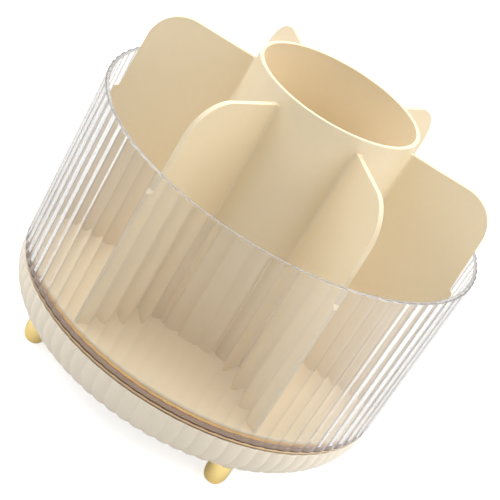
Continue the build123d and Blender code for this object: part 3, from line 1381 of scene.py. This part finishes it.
@dataclass
class Studio:
    """A white sweep, soft light and the camera at the photograph's angle."""

    floor_size: float = 6.0
    floor_diffuse: Colour = (0.78, 0.78, 0.78)
    floor_glow: float = 0.75
    floor_shine: float = 0.20
    floor_through: float = 0.12
    # A painted bright patch on the floor, seen only in reflections, standing in for a white reflector on the
    # right and in front.
    painted_patch_shine: float = 2.3
    painted_patch_slant: float = 2.0
    painted_patch_start: float = 0.05
    painted_patch_stop: float = 0.25
    sky_fill: float = 0.06
    room_glow: float = 0.45
    room_start: float = -0.8
    room_stop: float = 0.2
    lens: float = 122.46
    sensor: float = 36.0
    camera_azimuth: float = 0.84
    camera_elevation: float = 25.34
    camera_roll: float = 31.44
    camera_distance: float = 0.71776
    camera_pivot: float = 0.0310
    camera_right: float = 0.00149
    camera_up: float = 0.03426
    lamps: tuple[Lamp, ...] = (
        Lamp("top_lamp", azimuth=0, elevation=85, power=4.2, colour=(0.93, 0.98, 1.10)),
        Lamp("front_lamp", azimuth=0, elevation=40, power=1.2),
        Lamp("back_lamp", azimuth=180, elevation=45, power=3.0),
        Lamp("back_left_lamp", azimuth=-135, elevation=45, power=4.3),
        Lamp("back_right_lamp", azimuth=135, elevation=45, power=4.2),
        Lamp("left_lamp", azimuth=-95, elevation=40, power=5.4),
        Lamp("right_lamp", azimuth=95, elevation=40, power=5.3),
        Lamp("front_left_lamp", azimuth=-55, elevation=40, power=4.3, colour=(0.95, 0.99, 1.06)),
        Lamp("front_right_lamp", azimuth=55, elevation=40, power=4.2),
    )

    def build(self) -> None:
        """Builds the floor, the sky, the lamps and the camera."""
        self.build_floor()
        self.build_sky()
        aim = (cad_box[0] + cad_box[1]) / 2
        for lamp in self.lamps:
            lamp.build(aim)
        self.build_camera()
        bpy.context.scene.view_settings.view_transform = "Standard"

    def build_floor(self) -> None:
        """Builds the floor of the sweep."""
        half = self.floor_size / 2
        corners = ((-half, -half), (half, -half), (half, half), (-half, half))
        shape = bmesh.new()
        shape.faces.new([shape.verts.new((x, y, 0.0)) for x, y in corners])
        floor = make_piece("studio_floor", shape)
        material = bpy.data.materials.new("white sweep")
        material.use_nodes = True
        self.dress_floor(NodeSheet(material.node_tree))
        floor.data.materials.append(material)

    def dress_floor(self, sheet: NodeSheet) -> None:
        """Makes the floor white to the camera, while it still takes the holder's shadow.

        Reflections meet it dimmer, and brighter on the right and in front, where a painted bright patch
        stands in for a white reflector. Rays that come through the clear wall meet it dimmer still.

        Args:
            sheet: The empty tree of the floor's material.
        """
        place = sheet.axes()
        # Painted bright patch for reflections, on the right and in front.
        behind = sheet.math("MAXIMUM", place["Y"], 0.0)
        across = sheet.math("SUBTRACT", place["X"], sheet.math("MULTIPLY", behind, self.painted_patch_slant))
        painted_patch = sheet.remap(across, self.painted_patch_start, self.painted_patch_stop, self.floor_shine, self.painted_patch_shine)
        path = sheet.add("LightPath").outputs
        through = path["Is Transmission Ray"]
        mirrored = sheet.math("MAXIMUM", sheet.math("SUBTRACT", path["Is Glossy Ray"], through), 0.0)
        glow = sheet.math("MULTIPLY", path["Is Camera Ray"], self.floor_glow)
        for ray, level in ((through, self.floor_through), (mirrored, painted_patch)):
            glow = sheet.math("ADD", glow, sheet.math("MULTIPLY", ray, level))
        matt = sheet.add("BsdfDiffuse", {"Color": opaque(self.floor_diffuse)})
        lit = sheet.add("Emission", {"Strength": glow})
        both = sheet.add("AddShader", {0: matt.outputs["BSDF"], 1: lit.outputs["Emission"]})
        sheet.add("OutputMaterial", {"Surface": both.outputs["Shader"]})

    def build_sky(self) -> None:
        """Builds the sky: white where it is seen, softer where it lights the holder.

        Reflections and light bent by the clear wall also meet the dimmer room in front of the white sweep.
        """
        world = bpy.data.worlds.new("white studio")
        world.use_nodes = True
        bpy.context.scene.world = world
        sheet = NodeSheet(world.node_tree)
        path = sheet.add("LightPath").outputs
        shine = sheet.math("MAXIMUM", path["Is Glossy Ray"], path["Is Transmission Ray"])
        seen = sheet.math("MAXIMUM", path["Is Camera Ray"], shine)
        strength = sheet.remap(seen, 0.0, 1.0, self.sky_fill, 1.0)
        direction = sheet.axes("Generated")
        room = sheet.remap(direction["Y"], self.room_start, self.room_stop, self.room_glow, 1.0)
        dimming = sheet.remap(shine, 0.0, 1.0, 1.0, room)
        sky = sheet.add("Background", {"Strength": sheet.math("MULTIPLY", strength, dimming)})
        sheet.add("OutputWorld", {"Surface": sky.outputs["Background"]})

    def build_camera(self) -> None:
        """Builds the camera from its distance, its angles and where its axis passes the holder."""
        lens = bpy.data.cameras.new("photo_camera")
        lens.lens = self.lens
        lens.sensor_width = self.sensor
        camera = bpy.data.objects.new("photo_camera", lens)
        camera.matrix_world = (
            Matrix.Rotation(radians(self.camera_azimuth), 4, "Z")
            @ Matrix.Translation((0.0, 0.0, self.camera_pivot))
            @ Matrix.Rotation(radians(90 - self.camera_elevation), 4, "X")
            @ Matrix.Translation((self.camera_right, self.camera_up, self.camera_distance))
            @ Matrix.Rotation(radians(self.camera_roll), 4, "Z")
        )
        bpy.context.scene.collection.objects.link(camera)
        bpy.context.scene.camera = camera


def main() -> None:
    """Builds the holder from the floor up, then the studio around it."""
    logging.basicConfig(level=logging.INFO, format="%(message)s")
    for assembly in (SwivelBase(), BallRace(), Turntable(), FlutedBin(), Divider(), Studio()):
        assembly.build()
        log.info("%s done", type(assembly).__name__)


if __name__ == "__main__":
    main()
